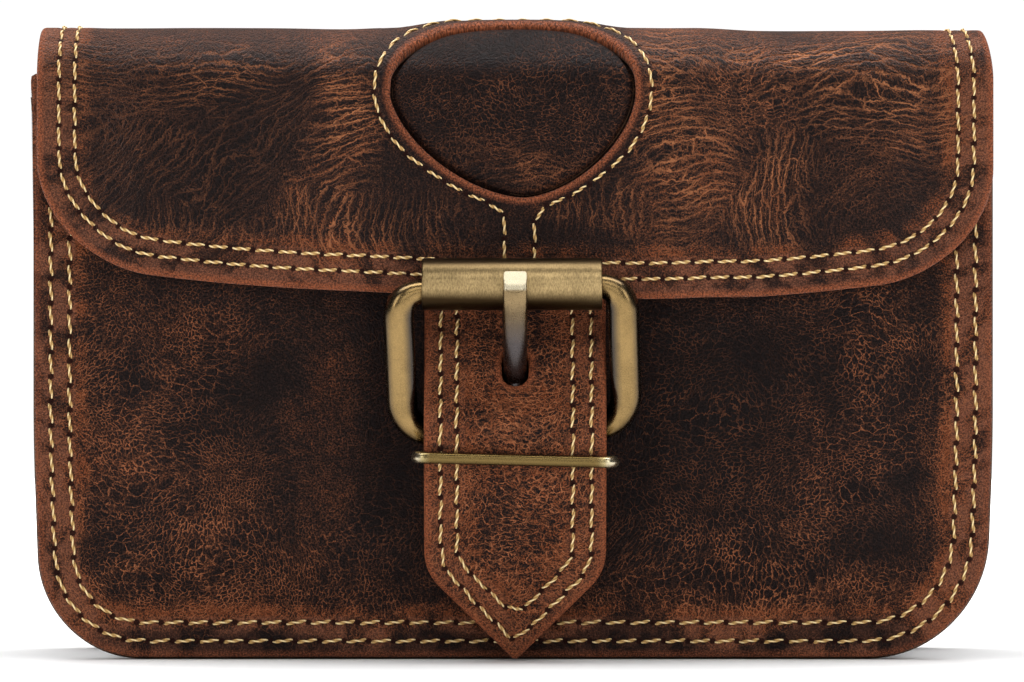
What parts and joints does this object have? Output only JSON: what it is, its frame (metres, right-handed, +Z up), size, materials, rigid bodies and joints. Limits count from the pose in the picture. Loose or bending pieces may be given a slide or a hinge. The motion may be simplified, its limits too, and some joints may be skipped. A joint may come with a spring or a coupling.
{
  "type": "belt bag",
  "caption": "Small leather belt bag with a rounded flap over the top, an oval patch in the flap and a buckled pointed strap held by a wire keeper.",
  "frame": {"origin": "on the floor under the middle of the box round the whole bag", "axes": "+X to the right across the bag seen from its front, +Y from the front to the back, +Z up"},
  "size_m": [0.171, 0.0698, 0.1139],
  "materials": {
    "brown_leather": "waxed, creased, semi-gloss",
    "strap_leather": "waxed, redder, semi-gloss",
    "patch_leather": "waxed, dark, semi-gloss",
    "aged_brass": "aged, brushed",
    "thread": "waxed twisted thread"
  },
  "bodies": {
    "root": {"front_panel": "brown_leather", "gusset": "brown_leather", "back_and_flap": "brown_leather", "oval_patch": "patch_leather", "tongue_strap": "strap_leather", "buckle_strap": "strap_leather", "buckle_frame": "aged_brass", "buckle_roller": "aged_brass", "buckle_prong": "aged_brass", "keeper_loop": "aged_brass", "belt_loop_left": "brown_leather", "belt_loop_right": "brown_leather"}
  },
  "joints": []
}
